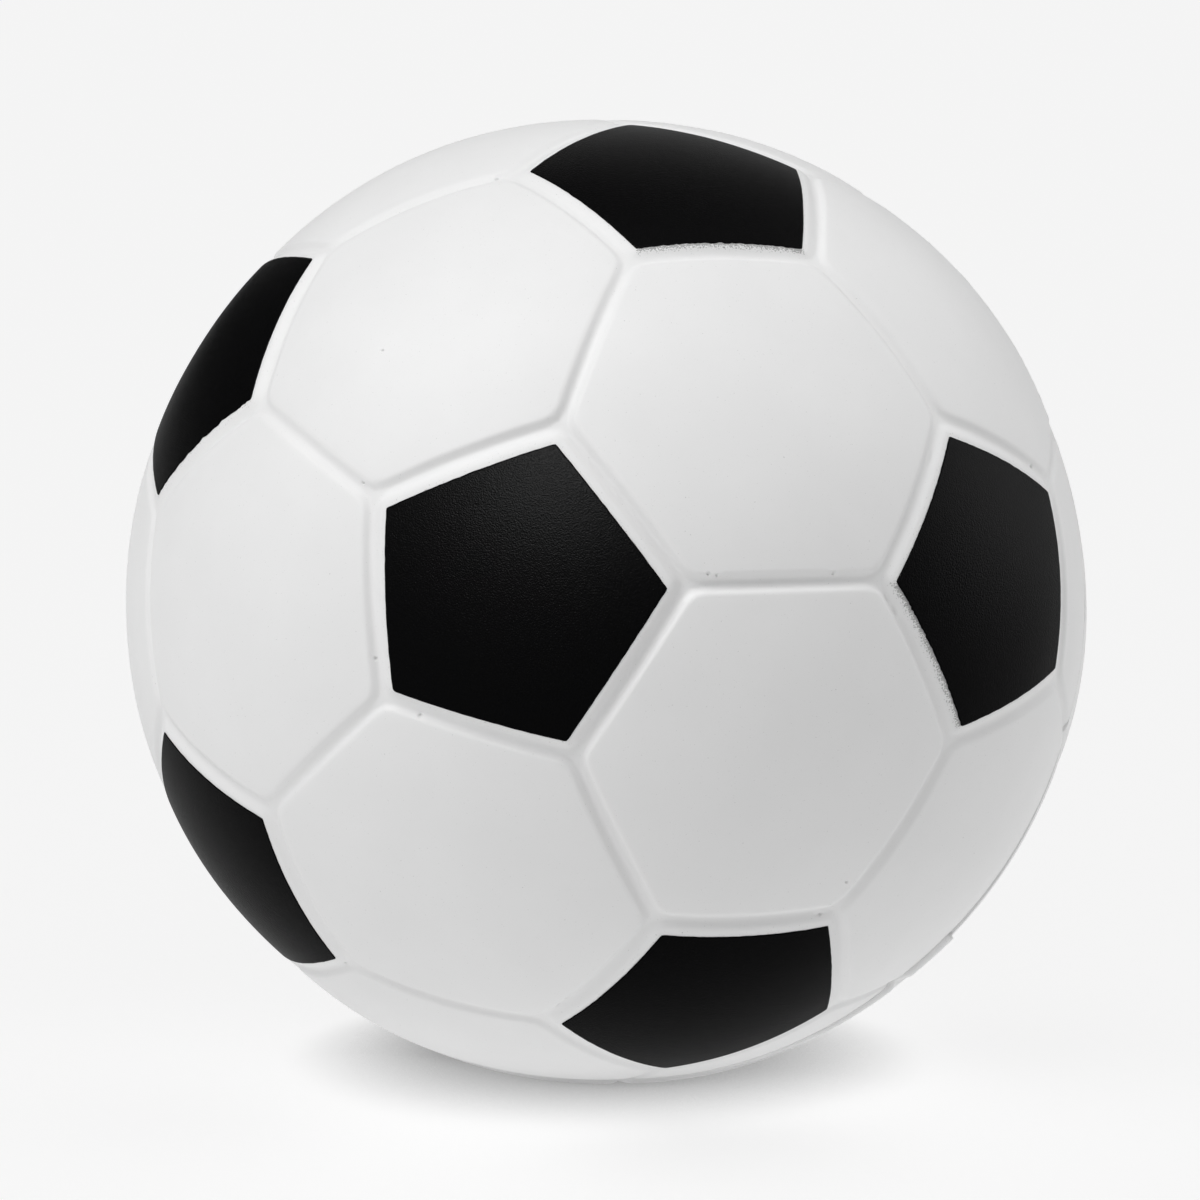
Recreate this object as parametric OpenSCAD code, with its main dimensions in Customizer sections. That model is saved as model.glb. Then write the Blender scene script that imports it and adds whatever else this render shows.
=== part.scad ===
// Small moulded foam football (soccer ball): a solid foam core inside a dense white skin that
// forms in two mould halves, with twelve black pentagons sprayed on through a mask.
// Millimetres, +Z up, origin at the centre of the ball.

/* [Ball] */
// Outside diameter over the white panels
ball_d = 63; // [55:1:100]
// Thickness of the dense skin under a panel
skin_t = 1.2; // [0.8:0.1:2]
// How far the rear half stands proud of the front half
mould_step = 0.15; // [0:0.05:0.3]

/* [Panel grooves] */
// Width of the moulded groove between two panels
groove_w = 1.4; // [0.8:0.1:2]
// Depth of the groove below the panels
groove_depth = 0.35; // [0.2:0.05:0.6]

/* [Parting line] */
// Width of the trimmed flash where the mould halves met
flash_w = 0.3; // [0.2:0.05:0.6]
// Height of the trimmed flash above the front half
flash_h = 0.2; // [0.1:0.05:0.4]

/* [Black paint] */
// Thickness of one sprayed coat
paint_t = 0.08; // [0.05:0.01:0.2]
// Bare white between the groove's shoulder and the edge of the paint
paint_margin = 0.35; // [0.3:0.05:1.5]
// How far the spray mask slid over the ball before spraying
mask_slip = 0.2; // [-0.3:0.05:0.3]

/* [How the ball lies] */
// Height of the front half's middle pentagon above the horizon, in degrees
pole_lift = 10.8; // [-90:0.1:90]
// Turn of that pentagon about the vertical, in degrees
pole_turn = -11.1; // [-180:0.1:180]
// Spin of the pattern about that pentagon, in degrees
pole_spin = 4.2; // [-36:0.1:36]

/* [Hidden] */

$fn = 96;

ball_r = ball_d / 2;
core_r = ball_r - skin_t;
rear_r = ball_r + mould_step;
reach = 2 * ball_d;             // longer than anything on the ball
paint_edge = groove_w / 2 + paint_margin;
slip_angle = mask_slip / ball_r * 180 / PI;

// Angles of a truncated icosahedron, all measured at the centre of the ball
ring_tilt = atan(2);            // from one pentagon's middle to the next
pent_half = 16.472;             // pentagon's middle to the middle of its side
hex_half = 20.905;              // hexagon's middle to the middle of its side
cap_tilt = pent_half + hex_half;        // pole to the five hexagons around it
belt_tilt = cap_tilt + 2 * hex_half;    // pole to the five hexagons of the belt
ring_step = 360 / 5;
globe_spin = 10;                // keeps the spheres' own seam off the panels' corners

// The ball as it lies; the pattern is drawn with its first pentagon on +Z
module as_it_lies() {
  rotate([90 - pole_lift, 0, pole_turn]) rotate([0, 0, pole_spin]) children();
}

// The rear half repeats the front half, upside down and a half step round
module rear_side() {
  rotate([0, 0, ring_step / 2]) rotate([180, 0, 0]) children();
}

// A pyramid from the centre through one panel, its sides moved in by inset
module panel_pyramid(sides, half_angle, inset) {
  intersection_for(k = [0:sides - 1])
    rotate([0, 0, k * 360 / sides]) rotate([0, half_angle, 0])
      translate([-reach - inset, -reach, 0]) cube([reach, 2 * reach, reach]);
}

// Pentagon 0 is at the pole and 1 to 5 stand in a ring around it
module pentagon_pyramid(i, inset) {
  if (i == 0)
    rotate([0, 0, ring_step / 2]) panel_pyramid(5, pent_half, inset);
  else
    rotate([0, 0, i * ring_step]) rotate([0, ring_tilt, 0])
      panel_pyramid(5, pent_half, inset);
}

module hexagon_pyramid(i, tilt, inset) {
  rotate([0, 0, (i + 0.5) * ring_step]) rotate([0, tilt, 0])
    panel_pyramid(6, hex_half, inset);
}

module globe(r) {
  rotate([0, 0, globe_spin]) sphere(r);
}

// All the pyramids that reach into one half of the ball
module half_pyramids(inset) {
  for (i = [0:5]) pentagon_pyramid(i, inset);
  for (i = [0:4]) {
    hexagon_pyramid(i, cap_tilt, inset);
    hexagon_pyramid(i, belt_tilt, inset);
    rear_side() hexagon_pyramid(i, belt_tilt, inset);
  }
}

// One half of the ball's outside, solid: raised panels on a sphere at the groove floor
module half_relief(r) {
  intersection() {
    union() {
      globe(r - groove_depth);
      intersection() {
        globe(r);
        half_pyramids(groove_w / 2);
      }
    }
    translate([-reach, -reach, 0]) cube([2 * reach, 2 * reach, reach]);
  }
}

module half_skin(r) {
  difference() {
    half_relief(r);
    globe(core_r);
  }
}

// One sprayed coat on panel i of a half whose panels lie at radius r
module pentagon_coat(i, r) {
  intersection() {
    difference() {
      globe(r + paint_t);
      globe(r);
    }
    rotate([slip_angle, 0, 0]) pentagon_pyramid(i, paint_edge);
  }
}

module foam_core() {
  color("lightyellow") as_it_lies() globe(core_r);
}

module front_skin() {
  color("whitesmoke") as_it_lies() half_skin(ball_r);
}

module rear_skin() {
  color("gainsboro") as_it_lies() rear_side() half_skin(rear_r);
}

// The flash follows the front half's panels and grooves around the parting line
module parting_flash() {
  color("silver") as_it_lies()
    difference() {
      intersection() {
        half_relief(ball_r + flash_h);
        cylinder(h = flash_w, r = ball_d);
      }
      half_relief(ball_r);
    }
}

module front_pentagon(i) {
  color("black") as_it_lies() pentagon_coat(i, ball_r);
}

module rear_pentagon(i) {
  color("black") as_it_lies() rear_side() pentagon_coat(i, rear_r);
}

foam_core();
front_skin();
rear_skin();
parting_flash();
front_pentagon(0);  // front_pentagon_0
front_pentagon(1);  // front_pentagon_1
front_pentagon(2);  // front_pentagon_2
front_pentagon(3);  // front_pentagon_3
front_pentagon(4);  // front_pentagon_4
front_pentagon(5);  // front_pentagon_5
rear_pentagon(0);  // rear_pentagon_0
rear_pentagon(1);  // rear_pentagon_1
rear_pentagon(2);  // rear_pentagon_2
rear_pentagon(3);  // rear_pentagon_3
rear_pentagon(4);  // rear_pentagon_4
rear_pentagon(5);  // rear_pentagon_5
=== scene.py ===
import math
import random

import bpy
import numpy as np
from mathutils import Matrix, Vector, noise


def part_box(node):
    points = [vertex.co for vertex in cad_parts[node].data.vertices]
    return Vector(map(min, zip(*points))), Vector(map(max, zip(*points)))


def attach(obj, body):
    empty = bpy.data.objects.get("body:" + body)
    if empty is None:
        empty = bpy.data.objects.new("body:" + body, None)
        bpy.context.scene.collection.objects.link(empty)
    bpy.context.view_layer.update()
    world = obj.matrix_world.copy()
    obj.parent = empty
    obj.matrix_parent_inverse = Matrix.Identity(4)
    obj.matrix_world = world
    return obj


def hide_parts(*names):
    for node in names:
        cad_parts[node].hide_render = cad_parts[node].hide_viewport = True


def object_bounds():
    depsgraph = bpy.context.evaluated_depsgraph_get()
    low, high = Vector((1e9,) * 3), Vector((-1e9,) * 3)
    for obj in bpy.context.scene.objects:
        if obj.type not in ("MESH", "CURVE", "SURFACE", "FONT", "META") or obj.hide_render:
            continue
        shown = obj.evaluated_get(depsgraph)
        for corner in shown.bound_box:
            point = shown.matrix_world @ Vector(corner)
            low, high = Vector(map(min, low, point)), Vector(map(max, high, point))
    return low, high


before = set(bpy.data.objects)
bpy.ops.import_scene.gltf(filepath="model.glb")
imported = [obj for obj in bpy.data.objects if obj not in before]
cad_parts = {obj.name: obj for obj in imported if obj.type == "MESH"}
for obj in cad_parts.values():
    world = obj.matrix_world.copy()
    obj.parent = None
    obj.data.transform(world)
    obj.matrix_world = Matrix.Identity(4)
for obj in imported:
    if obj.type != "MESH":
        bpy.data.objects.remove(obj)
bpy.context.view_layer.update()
random.seed(63)
mm = 0.001

# the whole ball, lengths in metres and angles in degrees
coreLow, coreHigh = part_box("foam_core")
ball = {
    "coreRadius": (coreHigh[2] - coreLow[2]) / 2,
    "skin": 1.2 * mm,    # dense white skin over the soft foam
    "clear": 0.01 * mm,    # left between the skin's inner wall and the foam
    "seat": 0.13 * mm,    # the shoulders of the panels lie this much under the ball's round
    "rearSlide": 0.32 * mm,    # the rear mould half sat this much out of line,
    "rearSlideAt": -105,    # in this direction round the parting line
    "lift": 10.8,    # how the middle pentagon lies: up,
    "turn": -11.1,    # round,
    "spin": 4.2,    # and about itself
}
panelRadius = ball["coreRadius"] + ball["skin"]
lie = (Matrix.Rotation(math.radians(ball["turn"]), 4, "Z")
       @ Matrix.Rotation(math.radians(90 - ball["lift"]), 4, "X")
       @ Matrix.Rotation(math.radians(ball["spin"]), 4, "Z"))
# the rear mould half is the front one turned over, so that their belts of panels mesh
rearSide = Matrix.Rotation(math.radians(36), 4, "Z") @ Matrix.Rotation(math.pi, 4, "X")


def work(piece):
    if bpy.context.object and bpy.context.object.mode != "OBJECT":
        bpy.ops.object.mode_set(mode="OBJECT")
    bpy.ops.object.select_all(action="DESELECT")
    if piece:
        piece.select_set(True)
        bpy.context.view_layer.objects.active = piece


def edit(piece, kind="FACE", picked=None):
    # picked holds one truth value for each vertex, edge or face; without it all are selected
    work(piece)
    bpy.ops.object.mode_set(mode="EDIT")
    bpy.ops.mesh.select_mode(type=kind)
    bpy.ops.mesh.select_all(action="SELECT" if picked is None else "DESELECT")
    if picked is not None:
        bpy.ops.object.mode_set(mode="OBJECT")
        parts = {"VERT": piece.data.vertices, "EDGE": piece.data.edges, "FACE": piece.data.polygons}
        parts[kind].foreach_set("select", np.asarray(picked, bool))
        bpy.ops.object.mode_set(mode="EDIT")


def leaveEdit():
    bpy.ops.object.mode_set(mode="OBJECT")


def places(piece):
    flat = np.empty(len(piece.data.vertices) * 3)
    piece.data.vertices.foreach_get("co", flat)
    return flat.reshape(-1, 3)


def setPlaces(piece, points):
    piece.data.vertices.foreach_set("co", np.ascontiguousarray(points).ravel())
    piece.data.update()


def edgeLengths(piece):
    ends = np.empty(len(piece.data.edges) * 2, int)
    piece.data.edges.foreach_get("vertices", ends)
    start, end = places(piece)[ends.reshape(-1, 2)].transpose(1, 0, 2)
    return np.linalg.norm(start - end, axis=1)


def copyOf(piece, name):
    twin = piece.copy()
    twin.data = piece.data.copy()
    twin.name = twin.data.name = name
    bpy.context.collection.objects.link(twin)
    return twin


def turnInPlace(piece, turn):
    work(piece)
    piece.matrix_world = turn
    bpy.ops.object.transform_apply(location=True, rotation=True, scale=True)


def addModifier(piece, kind, **settings):
    modifier = piece.modifiers.new(kind.title(), kind)
    for name, value in settings.items():
        setattr(modifier, name, value)
    return modifier


def applyModifiers(piece):
    work(piece)
    for modifier in list(piece.modifiers):
        bpy.ops.object.modifier_apply(modifier=modifier.name)


def weigh(piece, name, weights, steps=96):
    group = piece.vertex_groups.new(name=name)
    levels = np.round(np.clip(weights, 0, 1) * steps).astype(int)
    for level in range(1, steps + 1):
        group.add(np.nonzero(levels == level)[0].tolist(), level / steps, "REPLACE")


def storeAttribute(piece, name, values):
    attribute = piece.data.attributes.new(name, "FLOAT", "POINT")
    attribute.data.foreach_set("value", np.asarray(values, np.float32))


def onBall(tilt, azimuth):
    # a direction by its tilt from the middle of the front half and its azimuth about it
    tilt, azimuth = math.radians(tilt), math.radians(azimuth)
    return Vector((math.sin(tilt) * math.cos(azimuth), math.sin(tilt) * math.sin(azimuth),
                   math.cos(tilt)))


def solidPattern(radius):
    # an icosahedron with its corners cut off a third of the way: 12 pentagons and 20 hexagons
    work(None)
    bpy.ops.mesh.primitive_ico_sphere_add(subdivisions=1, radius=radius)
    solid = bpy.context.object
    edit(solid)
    bpy.ops.mesh.bevel(offset_type="PERCENT", offset_pct=100 / 3, affect="VERTICES")
    leaveEdit()
    return solid


class Panels:
    # the flat panels of the pattern, and how far a point on the ball is from their sides
    def __init__(self, solid):
        faces = solid.data.polygons
        self.facing = np.array([tuple(face.normal) for face in faces])
        self.height = np.array([face.normal.dot(face.center) for face in faces])
        self.sides = np.array([len(face.vertices) for face in faces])
        self.slope = self.facing / self.height[:, None]

    def measure(self, points):
        rays = points / np.linalg.norm(points, axis=1)[:, None]
        own = (rays @ self.slope.T).argmax(1)
        nearest = np.empty((len(rays), 2))
        beyond = np.empty((len(rays), 2), int)
        for panel in range(len(self.sides)):
            mine = own == panel
            across = self.slope[panel] - self.slope
            length = np.linalg.norm(across, axis=1)
            length[panel] = 1
            angles = np.arcsin(np.clip(rays[mine] @ across.T / length, -1, 1))
            angles[:, panel] = math.pi
            beyond[mine] = angles.argsort(axis=1)[:, :2]
            nearest[mine] = np.take_along_axis(angles, beyond[mine], axis=1)
        offCentre = np.arccos(np.clip((rays * self.facing[own]).sum(1), -1, 1))
        # the panels' corners are rounded, so that the grooves open out where three of them meet
        first, second = nearest.T * panelRadius
        bend = relief["cornerRadius"]
        rounded = bend - np.hypot(bend - first, bend - second)
        toSide = np.where(second < bend, rounded, first)
        # round a pentagon the groove falls gently on its own side and steeply on the hexagon's
        width = np.full(beyond.shape, relief["grooveHalf"])
        width[self.sides[beyond] == 5] = relief["steepHalf"]
        width[self.sides[own] == 5] = relief["gentleHalf"]
        tiny = 0.001 * mm    # keeps the blend of two widths defined right in a corner
        first, second = np.maximum((first, second), tiny)
        slopeWidth = (width[:, 0] * second + width[:, 1] * first) / (first + second)
        return own, toSide, slopeWidth, offCentre


# the moulded skin: white panels in relief with soft grooves between them
relief = {
    "grooveHalf": 0.74 * mm,    # middle of a groove to its shoulder between two hexagons
    "steepHalf": 0.58 * mm,    # and beside a pentagon, on the hexagon
    "gentleHalf": 0.92 * mm,    # and on the pentagon
    "grooveDepth": 0.52 * mm,    # where it is deepest,
    "deepest": (20, -24),    # at this tilt and azimuth,
    "deepSpread": 30,
    "shallow": 0.40,    # and this share of it far away
    "cornerRadius": 1.05 * mm,
    "rings": [0.10, 0.10, 0.10, 0.11, 0.12, 0.13, 0.20],    # loops beside a groove, in millimetres
    "flatShare": 1 / 1.11,    # the flat panels lie deeper than the ball, so rings are narrower there
    "crown": 0.20 * mm,    # each panel domes a little more than the ball
    "cornerOff": {5: 20.1, 6: 23.8},    # from a panel's middle to its corner, by number of sides
    "longEdge": 3 * mm,    # only sides and spokes are longer; what joins the loops stays whole
    "alongCuts": 35,    # cuts along each side of a panel
    "unevenness": 0.10 * mm,
    "unevenSize": 14 * mm,
    "drift": 0.34 * mm,    # the hand-cut pattern wanders this much from the true one
    "driftSize": 16 * mm,
}


def reliefBall():
    moulded = solidPattern(panelRadius)
    panels = Panels(moulded)
    edit(moulded)
    for width in relief["rings"]:
        bpy.ops.mesh.inset(thickness=width * mm * relief["flatShare"], use_individual=True)
    bpy.ops.mesh.poke()
    leaveEdit()
    edit(moulded, "EDGE", edgeLengths(moulded) > relief["longEdge"])
    bpy.ops.mesh.subdivide(number_cuts=relief["alongCuts"])
    leaveEdit()
    addModifier(moulded, "CAST", factor=1, size=panelRadius - ball["seat"],
                use_radius_as_size=False)
    applyModifiers(moulded)

    points = places(moulded)
    own, toSide, slopeWidth, offCentre = panels.measure(points)
    groove = 0.5 + 0.5 * np.cos(math.pi * np.clip(toSide / slopeWidth, 0, 1))
    corner = np.radians([relief["cornerOff"][sides] for sides in panels.sides])[own]
    weigh(moulded, "crown", (1 - (offCentre / corner) ** 2) * (1 - groove))
    along = points @ np.array(onBall(*relief["deepest"])) / panelRadius
    offDeepest = np.degrees(np.arccos(np.clip(along, -1, 1)))
    deepness = np.exp(-(offDeepest / relief["deepSpread"]) ** 2)
    weigh(moulded, "groove", groove * (relief["shallow"] + (1 - relief["shallow"]) * deepness))
    addModifier(moulded, "DISPLACE", vertex_group="crown", strength=relief["crown"], mid_level=0)
    addModifier(moulded, "DISPLACE", vertex_group="groove", strength=-relief["grooveDepth"],
                mid_level=0)
    uneven = bpy.data.textures.new("uneven", "CLOUDS")
    uneven.noise_scale = relief["unevenSize"]
    uneven.noise_depth = 1
    addModifier(moulded, "DISPLACE", texture=uneven, texture_coords="LOCAL",
                strength=relief["unevenness"], mid_level=0.5)
    drift = bpy.data.textures.new("drift", "CLOUDS")
    drift.noise_scale = relief["driftSize"]
    drift.noise_depth = 0
    drift.cloud_type = "COLOR"
    addModifier(moulded, "DISPLACE", texture=drift, texture_coords="LOCAL",
                direction="RGB_TO_XYZ", strength=relief["drift"], mid_level=0.5)
    applyModifiers(moulded)
    return moulded, panels


def rimEdges(piece):
    # edges with a face on one side only
    used = np.zeros(len(piece.data.edges), int)
    loops = np.empty(len(piece.data.loops), int)
    piece.data.loops.foreach_get("edge_index", loops)
    np.add.at(used, loops, 1)
    return used == 1


def keepHalf(piece, up):
    # cuts at the parting plane and stays in edit mode, with all that is left selected
    edit(piece)
    bpy.ops.mesh.bisect(plane_co=(0, 0, 0), plane_no=(0, 0, 1), threshold=0,
                        clear_inner=up, clear_outer=not up)
    bpy.ops.mesh.select_all(action="SELECT")


def halfSkin(moulded, name, up):
    skin = copyOf(moulded, name)
    keepHalf(skin, up)
    if not up:
        slide = onBall(90, ball["rearSlideAt"]) * ball["rearSlide"]
        bpy.ops.transform.translate(value=(slide.x, slide.y, 0))
    leaveEdit()
    return skin


lining = {
    "segments": 160,
    "rings": 81,    # an odd number, so that none lies on the parting plane
}


def lineSkin(skin, up):
    # the wall against the foam: half a ball bridged to the rim of the moulded side
    work(None)
    bpy.ops.mesh.primitive_uv_sphere_add(segments=lining["segments"], ring_count=lining["rings"],
                                         radius=ball["coreRadius"])
    wall = bpy.context.object
    keepHalf(wall, up)
    bpy.ops.mesh.flip_normals()
    leaveEdit()
    work(skin)
    wall.select_set(True)
    bpy.ops.object.join()
    edit(skin, "EDGE", rimEdges(skin))
    bpy.ops.mesh.bridge_edge_loops()
    leaveEdit()


moulded, panels = reliefBall()
frontSkin = halfSkin(moulded, "frontSkin", True)
rearSkin = halfSkin(moulded, "rearSkin", False)
print("relief moulded:", len(frontSkin.data.polygons), "faces on the front half")

# the sprayed pentagons: one coat is modelled flat, copied round the ball and laid on the skin
coat = {
    "thickness": 0.08 * mm,
    "proud": 0.04 * mm,    # how far its top stands off the skin
    "margin": 1.05 * mm,    # middle of the groove to the paint's edge
    "flatShare": 1 / 1.127,    # what the margin measures on the flat pentagon
    "slip": 0.2 * mm,    # the spray mask sat this much low
    "cuts": 63,
    "cornerPower": 170,    # a higher power gives a sharper corner
    "reach": 9,    # a higher power keeps the changes nearer the edge
    "sprayReach": 2 * mm,    # no spray crept further than this
    "capHeight": 0.8,    # a coat and its spray stay above this share of the ball's radius
    "ringTilt": math.degrees(math.atan(2)),    # from one pentagon to the next
    "fifth": 72,    # from one side of a pentagon to the next,
    "halfFifth": 36,    # and from a side to a corner
}


def flatCoat():
    solid = solidPattern(panelRadius)
    faces = solid.data.polygons
    highest = max(face.center.z for face in faces)
    top = [len(face.vertices) == 5 and math.isclose(face.center.z, highest, rel_tol=0.001)
           for face in faces]
    edit(solid, "FACE", top)
    bpy.ops.mesh.select_all(action="INVERT")
    bpy.ops.mesh.delete(type="FACE")
    bpy.ops.mesh.select_all(action="SELECT")
    bpy.ops.mesh.inset(thickness=coat["margin"] * coat["flatShare"])
    bpy.ops.mesh.select_all(action="INVERT")
    bpy.ops.mesh.delete(type="FACE")
    bpy.ops.mesh.select_all(action="SELECT")
    bpy.ops.mesh.poke()
    bpy.ops.mesh.select_all(action="SELECT")
    bpy.ops.mesh.subdivide(number_cuts=coat["cuts"])
    leaveEdit()
    return solid


def sideBearings():
    return np.radians(coat["halfFifth"] + coat["fifth"] * np.arange(5))


def shapeEdge(piece, wander):
    # rounds the corners and lets the edge wander; the inside follows less and less
    points = places(piece)
    bearing = np.arctan2(points[:, 1], points[:, 0])
    out = np.hypot(points[:, 0], points[:, 1])
    sideAway = out.max() * math.cos(math.radians(coat["halfFifth"]))
    sides = np.cos(bearing[:, None] - sideBearings()) / sideAway
    sharp = 1 / sides.max(1)
    power = coat["cornerPower"]
    rounded = (np.clip(sides, 0, None) * sharp[:, None]) ** power
    rounded = sharp * rounded.sum(1) ** (-1 / power)
    inward = (out / sharp) ** coat["reach"]
    shift = (rounded - sharp + wander(bearing, rounded)) * inward
    scale = 1 + shift / np.maximum(out, mm)    # nothing shifts within the middle millimetre
    points[:, 0] *= scale
    points[:, 1] *= scale
    setPlaces(piece, points)


# how a side of a coat came off the mask: how far its edge wanders and at what pitch, both in
# millimetres, and how much spray crept under the mask
coatEdges = {
    "clean": (0.025, 0.5, 0.16),
    "fuzzy": (0.09, 0.15, 1.0),
    "ragged": (0.15, 0.40, 0.3),
}
# sides 0 to 4 run anticlockwise from the corner that points away from the middle of the mould half
roughSides = {
    ("front", 1): {0: "fuzzy"},
    ("front", 2): {4: "ragged"},
    ("front", 5): {0: "fuzzy"},
    ("rear", 0): {1: "fuzzy"},
    ("rear", 3): {0: "ragged"},
    ("rear", 4): {2: "fuzzy"},
}


def coatPlace(half, index):
    slipped = Matrix.Rotation(coat["slip"] / panelRadius, 4, "X")
    if index:
        slipped = (slipped @ Matrix.Rotation(math.radians(coat["fifth"] * index), 4, "Z")
                   @ Matrix.Rotation(math.radians(coat["ringTilt"]), 4, "Y")
                   @ Matrix.Rotation(math.pi, 4, "Z"))
    return rearSide @ slipped if half == "rear" else slipped


def sprayedCoat(half, index, pattern, skin):
    piece = copyOf(pattern, half + "Pentagon" + str(index))
    sides = roughSides.get((half, index), {})

    def wander(bearing, out):
        side = (np.floor(np.degrees(bearing) / coat["fifth"]) % 5).astype(int)
        ownNoise = index + 7 * (half == "rear")    # so that no two coats are alike
        result = np.zeros(len(out))
        for number in range(5):
            size, pitch = coatEdges[sides.get(number, "clean")][:2]
            for spot in np.nonzero(side == number)[0]:
                where = Vector((math.cos(bearing[spot]), math.sin(bearing[spot]), ownNoise))
                where *= out[spot] / (pitch * mm)
                result[spot] = noise.noise(where) * size * mm
        return result

    shapeEdge(piece, wander)
    turnInPlace(piece, coatPlace(half, index))
    addModifier(piece, "CAST", factor=1, size=panelRadius, use_radius_as_size=False)
    addModifier(piece, "SHRINKWRAP", target=skin, wrap_method="NEAREST_SURFACEPOINT",
                wrap_mode="ABOVE_SURFACE", offset=coat["proud"])
    addModifier(piece, "SOLIDIFY", thickness=coat["thickness"], offset=-1)
    applyModifiers(piece)
    return piece


def markSpray(skin, half, pattern):
    # how far each point of the skin is outside the nearest paint, and how much spray crept there
    flatPoints = places(pattern)
    height = flatPoints[:, 2].max()
    farthest = np.hypot(flatPoints[:, 0], flatPoints[:, 1]).max()
    sideAway = farthest * math.cos(math.radians(coat["halfFifth"]))
    points = places(skin)
    gap = np.full(len(points), coat["sprayReach"])
    crept = np.zeros(len(points))
    turns = sideBearings()
    for index in range(6):
        inside = points @ np.array(coatPlace(half, index).to_3x3())
        onPlane = inside[:, :2] * (height / np.maximum(inside[:, 2], mm))[:, None]
        outside = onPlane @ np.array([np.cos(turns), np.sin(turns)]) - sideAway
        sides = roughSides.get((half, index), {})
        amount = np.array([coatEdges[sides.get(side, "clean")][2] for side in range(5)])
        amount = amount[outside.argmax(1)]
        facing = inside[:, 2] > coat["capHeight"] * panelRadius
        closer = (outside.max(1) < gap) & facing
        gap = np.where(closer, outside.max(1), gap)
        crept = np.where(closer, amount, crept)
    storeAttribute(skin, "paintGap", gap / mm)
    storeAttribute(skin, "spray", crept)


pattern = flatCoat()
coats = {}
for half, skin in (("front", frontSkin), ("rear", rearSkin)):
    for index in range(6):
        coats[half, index] = sprayedCoat(half, index, pattern, skin)
    markSpray(skin, half, pattern)
bpy.data.objects.remove(pattern)
print("coats laid on:", len(coats))

# bubbles of gas caught at the mould wall: small round holes, mostly where two panels meet
bubbles = {
    "hole": (0.06 * mm, 0.11 * mm),    # radius, smallest and largest
    "depth": 0.16 * mm,
    "edge": 6,    # a higher power gives a hole steeper walls
    "finer": 0.22 * mm,    # the mesh is made finer this far beyond two radii
    "cuts": 5,
    "stir": 2 * mm,    # nothing further off moves
    "offMiddle": 0.7 * mm,    # a strewn bubble lies this near the middle of a groove,
    "offParting": 0.05,    # and this share of the radius off the parting plane
    # tilt from the middle of the front half and azimuth about it, in degrees
    "front": [(22.5, 3), (23.5, 2.5), (37.5, 1.5), (56, 314), (57, 310), (57.5, 308), (56, 268.5),
              (54.5, 270), (60, 266), (18, 203), (18, 230), (55, 17), (34, 119)],
    "strewn": 26,    # and this many more wherever they fell
}


def pierce(skin, spots):
    # spots are (direction, radius) pairs; the mesh is made finer round each before it is pushed in
    flat = np.empty(len(skin.data.polygons) * 3)
    skin.data.polygons.foreach_get("center", flat)
    centres = flat.reshape(-1, 3)
    near = np.zeros(len(centres), bool)
    for way, radius in spots:
        away = np.linalg.norm(centres - np.array(way) * panelRadius, axis=1)
        near |= away < 2 * radius + bubbles["finer"]
    edit(skin, "FACE", near)
    bpy.ops.mesh.subdivide(number_cuts=bubbles["cuts"])
    leaveEdit()
    points = places(skin)
    for way, radius in spots:
        away = np.linalg.norm(points - np.array(way) * panelRadius, axis=1)
        outward = (points * np.array(way)).sum(1)
        # distance to the side only, so that the depth of the groove doesn't matter
        lateral = np.sqrt(np.maximum((points ** 2).sum(1) - outward ** 2, 0))
        push = np.where((outward > 0) & (away < bubbles["stir"]),
                        1 / (1 + (lateral / radius) ** bubbles["edge"]), 0)
        points -= np.array(way) * (push * bubbles["depth"])[:, None]
    setPlaces(skin, points)


def strewnBubbles(up, count):
    spots = []
    while len(spots) < count:
        way = np.array([random.gauss(0, 1) for _ in range(3)])
        way /= np.linalg.norm(way)
        toSide = panels.measure(way[None])[1]
        offParting = bubbles["offParting"]
        if ((way[2] > offParting) == up and abs(way[2]) > offParting
                and toSide[0] < bubbles["offMiddle"]):
            spots.append((Vector(way), random.uniform(*bubbles["hole"])))
    return spots


named = [(onBall(tilt, azimuth), random.uniform(*bubbles["hole"]))
         for tilt, azimuth in bubbles["front"]]
pierce(frontSkin, named + strewnBubbles(True, bubbles["strewn"] // 2))
pierce(rearSkin, strewnBubbles(False, bubbles["strewn"] // 2))
print("bubbles opened")

# the trimmed line of flash round the parting line
flash = {
    "thick": 0.06 * mm,    # half its width where it is whole
    # a stretch that wasn't trimmed: its azimuth, its height, and how many degrees it runs
    "tag": (-45.7, 0.44 * mm, 46),
    "sunk": 0.02 * mm,    # its middle lies this much under the rim
    "trim": ((9, 1), (60, 0.6)),    # how fast its width comes and goes round the ball, and how much
    "least": 0.55,    # its least width, as a share of the whole,
    "swing": 0.9,    # and what the coming and going adds
    "segments": 240,
    "cuts": 4,    # in each segment
    "longEdge": 0.4 * mm,    # only the edges that run round the ball are longer
    "sections": 8,
    "onParting": 0.01 * mm,    # the rim's points lie this near the parting plane,
    "outside": 0.3,    # and this share of the skin outside the foam
}


def rimOutline(skin):
    points = places(skin)
    rim = points[np.abs(points[:, 2]) < flash["onParting"]]
    inner = ball["coreRadius"] + flash["outside"] * ball["skin"]
    rim = rim[np.linalg.norm(rim, axis=1) > inner]
    azimuth = np.arctan2(rim[:, 1], rim[:, 0])
    order = azimuth.argsort()
    return azimuth[order], np.linalg.norm(rim, axis=1)[order]


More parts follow.
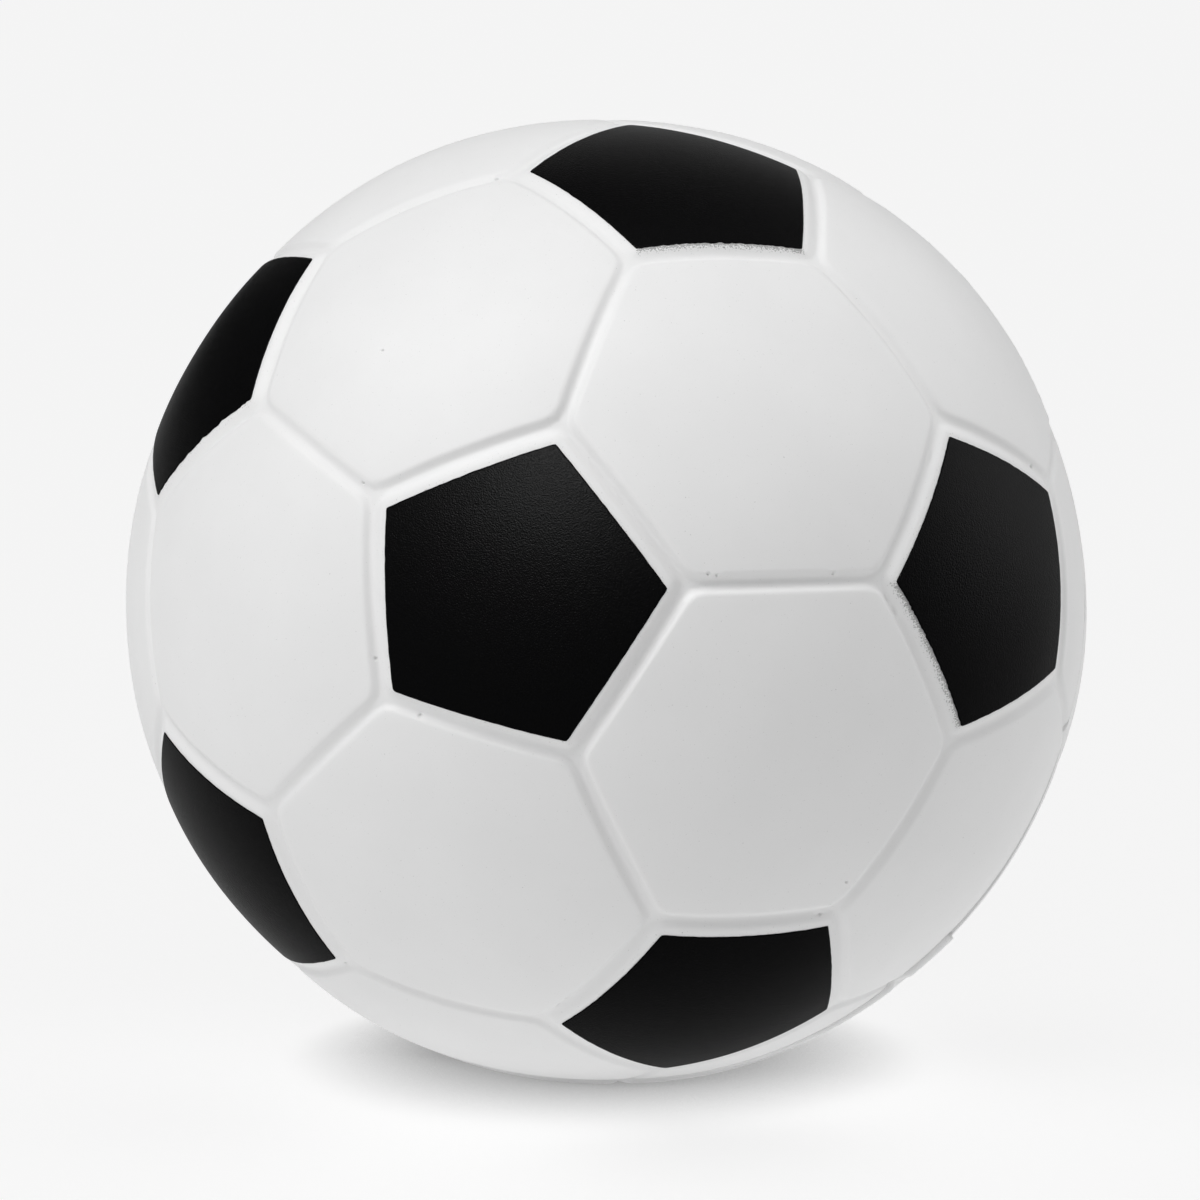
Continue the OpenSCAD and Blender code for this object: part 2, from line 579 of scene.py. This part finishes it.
def partingFlash():
    azimuths, radii = rimOutline(frontSkin)
    work(None)
    bpy.ops.mesh.primitive_torus_add(
        major_segments=flash["segments"], minor_segments=flash["sections"],
        major_radius=panelRadius, minor_radius=flash["thick"])
    bead = bpy.context.object
    bead.name = bead.data.name = "partingFlash"
    edit(bead, "EDGE", edgeLengths(bead) > flash["longEdge"])
    bpy.ops.mesh.subdivide(number_cuts=flash["cuts"])
    leaveEdit()
    points = places(bead)
    azimuth = np.arctan2(points[:, 1], points[:, 0])
    ring = np.column_stack((np.cos(azimuth), np.sin(azimuth), np.zeros(len(azimuth))))
    section = points - ring * panelRadius
    middle = np.interp(azimuth, azimuths, radii, period=2 * math.pi)
    trim = np.array([sum(share * noise.noise(Vector(way) * pace) for pace, share in flash["trim"])
                     for way in ring])
    stretch = flash["least"] + flash["swing"] * np.clip(trim, 0, 1)
    start, height, run = flash["tag"]
    along = (start - np.degrees(azimuth)) % 360
    stretch += np.where(along < run, (1 - along / run) * height / flash["thick"], 0)
    setPlaces(bead, ring * (middle - flash["sunk"])[:, None] + section * stretch[:, None])
    return bead


for skin, up in ((frontSkin, True), (rearSkin, False)):
    lineSkin(skin, up)
bead = partingFlash()
print("parting line trimmed")

# the soft foam inside, with its cells opened at the surface
core = {
    "cell": 1.1 * mm,
    "open": 0.16 * mm,    # depth of the cells
    "fineness": 7,
}


def foamCore():
    work(None)
    bpy.ops.mesh.primitive_ico_sphere_add(subdivisions=core["fineness"],
                                          radius=ball["coreRadius"] - ball["clear"])
    foam = bpy.context.object
    foam.name = foam.data.name = "foamCore"
    cells = bpy.data.textures.new("cells", "VORONOI")
    cells.noise_scale = core["cell"]
    cells.noise_intensity = 1
    addModifier(foam, "DISPLACE", texture=cells, texture_coords="LOCAL",
                strength=core["open"], mid_level=1)
    applyModifiers(foam)
    return foam


foam = foamCore()
bpy.data.objects.remove(moulded)
finished = [frontSkin, rearSkin, bead, foam] + list(coats.values())
for piece in finished:
    turnInPlace(piece, lie)
    bpy.ops.object.shade_smooth()
print("ball laid as it lies:", len(finished), "pieces")


def linear(hexColour):
    # sRGB hex to the linear colour that a shader takes
    channels = [int(hexColour[i:i + 2], 16) / 255 for i in (1, 3, 5)]
    return [c / 12.92 if c <= 0.04045 else ((c + 0.055) / 1.055) ** 2.4 for c in channels] + [1]


def addNode(tree, kind, settings=None, inputs=None):
    node = tree.nodes.new("ShaderNode" + kind)
    for name, value in (settings or {}).items():
        setattr(node, name, value)
    for name, value in (inputs or {}).items():
        if isinstance(value, bpy.types.NodeSocket):
            tree.links.new(value, node.inputs[name])
        else:
            node.inputs[name].default_value = value
    return node


def newMaterial(name):
    material = bpy.data.materials.new(name)
    material.use_nodes = True
    tree = material.node_tree
    tree.nodes.clear()
    shader = addNode(tree, "BsdfPrincipled")
    addNode(tree, "OutputMaterial", inputs={"Surface": shader.outputs["BSDF"]})
    return material, tree, shader


whiteFinish = {
    "cloudSize": 6 * mm,    # patches where the skin foamed a little denser
    "dark": "#e4e4e4",
    "light": "#e6e6e6",
    "darkAt": 0.35,
    "lightAt": 0.65,
    "unevenSize": 0.5 * mm,    # the mould's own fine texture
    "unevenDepth": 0.02 * mm,
    "unevenShare": 0.12,
    "roughness": 0.55,
    "ior": 1.5,
    "scatter": 0.12,
    "scatterDepth": 0.4 * mm,
}
# the black spray that crept under the mask: a grey mist, and droplets that get fewer and fewer
# away from the paint
spray = {
    "colour": "#3c3c3c",
    "nearest": -0.1,    # millimetres from the paint's edge, as in the attribute paintGap
    "farthest": 0.55,
    "most": 0.6,    # how much of it there is at the nearest
    "dropSize": 0.10 * mm,    # real droplets are finer and wouldn't show
    "dropFrom": 0.73,    # a higher level gives fewer droplets
    "dropTo": 0.90,
    "dropCover": 0.60,
    "mistCover": 0.2,
}


def mouldedSkin():
    # self-skinning polyurethane foam, coated white in the mould: smooth, with a soft sheen and
    # slightly cloudy
    material, tree, shader = newMaterial("SelfSkinningFoam")
    where = addNode(tree, "TexCoord").outputs["Object"]
    cloud = addNode(tree, "TexNoise", inputs={
        "Vector": where, "Scale": 1 / whiteFinish["cloudSize"], "Detail": 3})
    tint = addNode(tree, "ValToRGB", inputs={"Fac": cloud.outputs["Fac"]})
    dark, light = tint.color_ramp.elements
    dark.color, dark.position = linear(whiteFinish["dark"]), whiteFinish["darkAt"]
    light.color, light.position = linear(whiteFinish["light"]), whiteFinish["lightAt"]
    gap = addNode(tree, "Attribute", {"attribute_name": "paintGap"}).outputs["Fac"]
    crept = addNode(tree, "Attribute", {"attribute_name": "spray"}).outputs["Fac"]
    near = addNode(tree, "MapRange", inputs={
        "Value": gap, "From Min": spray["nearest"], "From Max": spray["farthest"],
        "To Min": spray["most"], "To Max": 0.0}).outputs["Result"]
    amount = addNode(tree, "Math", {"operation": "MULTIPLY"}, {0: near, 1: crept}).outputs["Value"]
    drops = addNode(tree, "TexNoise", inputs={
        "Vector": where, "Scale": 1 / spray["dropSize"], "Detail": 1}).outputs["Fac"]
    level = addNode(tree, "Math", {"operation": "ADD"}, {0: drops, 1: amount}).outputs["Value"]
    speck = addNode(tree, "MapRange", inputs={
        "Value": level, "From Min": spray["dropFrom"], "From Max": spray["dropTo"],
        "To Max": spray["dropCover"]}).outputs["Result"]
    mist = addNode(tree, "Math", {"operation": "MULTIPLY"}, {0: amount, 1: spray["mistCover"]})
    cover = addNode(tree, "Math", {"operation": "MAXIMUM"}, {0: speck, 1: mist.outputs["Value"]})
    # inputs 6 and 7 and output 2 are the colour ones
    sprayed = addNode(tree, "Mix", {"data_type": "RGBA"}, {
        "Factor": cover.outputs["Value"], 6: tint.outputs["Color"], 7: linear(spray["colour"])})
    fine = addNode(tree, "TexNoise", inputs={
        "Vector": where, "Scale": 1 / whiteFinish["unevenSize"], "Detail": 2})
    bump = addNode(tree, "Bump", inputs={
        "Height": fine.outputs["Fac"], "Strength": whiteFinish["unevenShare"],
        "Distance": whiteFinish["unevenDepth"]})
    tree.links.new(sprayed.outputs[2], shader.inputs["Base Color"])
    tree.links.new(bump.outputs["Normal"], shader.inputs["Normal"])
    shader.inputs["Roughness"].default_value = whiteFinish["roughness"]
    shader.inputs["IOR"].default_value = whiteFinish["ior"]
    shader.inputs["Subsurface Weight"].default_value = whiteFinish["scatter"]
    shader.inputs["Subsurface Radius"].default_value = (1, 1, 1)
    shader.inputs["Subsurface Scale"].default_value = whiteFinish["scatterDepth"]
    return material


blackFinish = {
    "grainSize": 0.10 * mm,    # dried droplets that ran together
    "grainDepth": 0.034 * mm,
    "dark": "#040404",
    "light": "#0b0b0c",
    "roughness": 0.38,
    "ior": 1.45,
    "specular": 0.014,    # far less than a smooth coat's, because the grain traps the light
}


def sprayedPaint():
    # black polyurethane paint, sprayed: satin, with the fine grain of dried droplets
    material, tree, shader = newMaterial("SprayedPaint")
    where = addNode(tree, "TexCoord").outputs["Object"]
    grain = addNode(tree, "TexNoise", inputs={
        "Vector": where, "Scale": 1 / blackFinish["grainSize"], "Detail": 2})
    tint = addNode(tree, "ValToRGB", inputs={"Fac": grain.outputs["Fac"]})
    dark, light = tint.color_ramp.elements
    dark.color, light.color = linear(blackFinish["dark"]), linear(blackFinish["light"])
    bump = addNode(tree, "Bump", inputs={
        "Height": grain.outputs["Fac"], "Strength": 1.0, "Distance": blackFinish["grainDepth"]})
    tree.links.new(tint.outputs["Color"], shader.inputs["Base Color"])
    tree.links.new(bump.outputs["Normal"], shader.inputs["Normal"])
    shader.inputs["Roughness"].default_value = blackFinish["roughness"]
    shader.inputs["IOR"].default_value = blackFinish["ior"]
    shader.inputs["Specular IOR Level"].default_value = blackFinish["specular"]
    return material


creamFinish = {
    # the darker colour sits in the hollows of the cells: painted shade
    "cellShade": "#c9bda0",
    "raised": "#f7f0dc",
    "cellDepth": 0.2 * mm,
    "cellShare": 0.6,
    "roughness": 0.95,
    "ior": 1.45,
}


def openFoam():
    # flexible polyurethane foam, moulded: cream and quite matt, with painted shade that darkens the
    # hollows of the cells
    material, tree, shader = newMaterial("FlexibleFoam")
    where = addNode(tree, "TexCoord").outputs["Object"]
    cells = addNode(tree, "TexVoronoi", inputs={"Vector": where, "Scale": 1 / core["cell"]})
    tint = addNode(tree, "ValToRGB", inputs={"Fac": cells.outputs["Distance"]})
    cellShade, raised = tint.color_ramp.elements
    cellShade.color, raised.color = linear(creamFinish["cellShade"]), linear(creamFinish["raised"])
    bump = addNode(tree, "Bump", inputs={
        "Height": cells.outputs["Distance"], "Strength": creamFinish["cellShare"],
        "Distance": creamFinish["cellDepth"]})
    tree.links.new(tint.outputs["Color"], shader.inputs["Base Color"])
    tree.links.new(bump.outputs["Normal"], shader.inputs["Normal"])
    shader.inputs["Roughness"].default_value = creamFinish["roughness"]
    shader.inputs["IOR"].default_value = creamFinish["ior"]
    return material


def wear(piece, material):
    piece.data.materials.clear()
    piece.data.materials.append(material)


white, black, cream = mouldedSkin(), sprayedPaint(), openFoam()
for piece, node, slotName, material in [(frontSkin, "front_skin", "white_skin", white),
                                        (rearSkin, "rear_skin", "white_skin", white),
                                        (bead, "parting_flash", "white_skin", white),
                                        (foam, "foam_core", "foam", cream)]:
    wear(piece, material)
    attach(piece, "root")
    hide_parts(node)
for (half, index), piece in coats.items():
    wear(piece, black)
    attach(piece, "root")
    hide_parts(half + "_pentagon_" + str(index))
print("materials on")

# a wide pale floor and large soft lights, so far off that they light it evenly
studio = {
    "floorSize": 6,
    "acrylic": "#a0a0a0",
    "acrylicRoughness": 0.9,
    "acrylicSpecular": 0.2,
    "glow": 0.785,
    "paintedShadow": 8.5 * mm,    # how far round a thing that touches the floor the painted shadow reaches, as the glow dies out
    "paintedShadowLean": (0, -0.93, 0.37),    # it looks out this way, so the painted shadow lies more behind the ball
    "paintedShadowRange": (0.26, 0.86),    # how open a place is where the glow is out in the painted shadow, and where it is whole
    "room": 0.07,
    # azimuth from the camera towards the right, elevation, brightness on a white card, width
    "lamps": {
        "key": (-60, 58, 0.655, 50),
        "low": (-62, 14, 0.09, 60),
        "top": (90, 63, 0.31, 55),
        "side": (120, 16, 0.22, 50),
        "front": (-15, 42, 0.11, 30),
    },
    "boom": (0, 68, 0.30, 80),    # over the floor alone
    # cards that show only as a sheen on the paint
    "cards": {
        "glint": (-16, 49, 5.2, 16),
        "rim": (176, 17, 0.10, 40),
        "wing": (104, 14, 0.7, 50),
    },
    "lens": 198.6,
    "sensor": 36,
    "distance": 0.435,
    "elevation": 10,
    "aside": -0.39 * mm,    # the ball sits a hair right of the middle of the view
}


def sweep():
    work(None)
    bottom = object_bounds()[0][2]
    bpy.ops.mesh.primitive_plane_add(size=studio["floorSize"], location=(0, 0, bottom))
    floor = bpy.context.object
    floor.name = floor.data.name = "floor"
    bpy.ops.object.transform_apply(location=True)
    return floor


def glowingFloorWithPaintedShadow():
    # frosted acrylic sheet: pale and matt, glowing evenly, with a painted shadow where its glow dies
    # out under and behind what touches it
    material, tree, shader = newMaterial("FloorWithPaintedShadow")
    shader.inputs["Base Color"].default_value = linear(studio["acrylic"])
    lean = addNode(tree, "CombineXYZ", inputs=dict(zip("XYZ", studio["paintedShadowLean"])))
    # the glow fades with occlusion round the ball: a painted shadow
    paintedShadow = addNode(tree, "AmbientOcclusion", {"samples": 8},
                    {"Distance": studio["paintedShadow"], "Normal": lean.outputs["Vector"]})
    low, high = studio["paintedShadowRange"]
    glow = addNode(tree, "MapRange", inputs={
        "Value": paintedShadow.outputs["AO"], "From Min": low, "From Max": high, "To Max": studio["glow"]})
    shader.inputs["Emission Color"].default_value = (1, 1, 1, 1)
    tree.links.new(glow.outputs["Result"], shader.inputs["Emission Strength"])
    shader.inputs["Roughness"].default_value = studio["acrylicRoughness"]
    shader.inputs["Specular IOR Level"].default_value = studio["acrylicSpecular"]
    return material


floor = sweep()
wear(floor, glowingFloorWithPaintedShadow())

scene = bpy.context.scene
scene.view_settings.view_transform = "Standard"
world = bpy.data.worlds.new("room")
scene.world = world
world.use_nodes = True
world.node_tree.nodes["Background"].inputs["Color"].default_value = (1, 1, 1, 1)
world.node_tree.nodes["Background"].inputs["Strength"].default_value = studio["room"]


def hangLamp(name, azimuth, elevation, brightness, width):
    lamp = bpy.data.lights.new(name, "SUN")
    lamp.energy = brightness * math.pi
    lamp.angle = math.radians(width)
    holder = bpy.data.objects.new(name, lamp)
    across, up = math.radians(azimuth), math.radians(elevation)
    toward = Vector((math.sin(across) * math.cos(up), -math.cos(across) * math.cos(up),
                     math.sin(up)))
    holder.location = toward
    holder.rotation_euler = (-toward).to_track_quat("-Z", "Y").to_euler()
    scene.collection.objects.link(holder)


for name, settings in studio["lamps"].items():
    hangLamp(name, *settings)
hangLamp("boom", *studio["boom"])
for name, settings in studio["cards"].items():
    hangLamp(name, *settings)
    scene.objects[name].visible_diffuse = False


def flagLamps(name, lamps, lit, state="INCLUDE"):
    # each lamp is flagged so that it lights only some of the set
    shared = bpy.data.collections.new(name)
    for number, piece in enumerate(lit):
        shared.objects.link(piece)
        shared.collection_objects[number].light_linking.link_state = state
    for lamp in lamps:
        scene.objects[lamp].light_linking.receiver_collection = shared


flagLamps("notFloor", studio["lamps"], [floor], "EXCLUDE")
flagLamps("floorOnly", ["boom"], [floor])
flagLamps("paintOnly", studio["cards"], coats.values())

lens = bpy.data.cameras.new("camera")
lens.lens = studio["lens"]
lens.sensor_width = studio["sensor"]
camera = bpy.data.objects.new("camera", lens)
up = math.radians(studio["elevation"])
camera.location = (0, -studio["distance"] * math.cos(up), studio["distance"] * math.sin(up))
sight = Vector((studio["aside"], 0, 0)) - camera.location
camera.rotation_euler = sight.to_track_quat("-Z", "Y").to_euler()
scene.collection.objects.link(camera)
scene.camera = camera
print("studio lit")
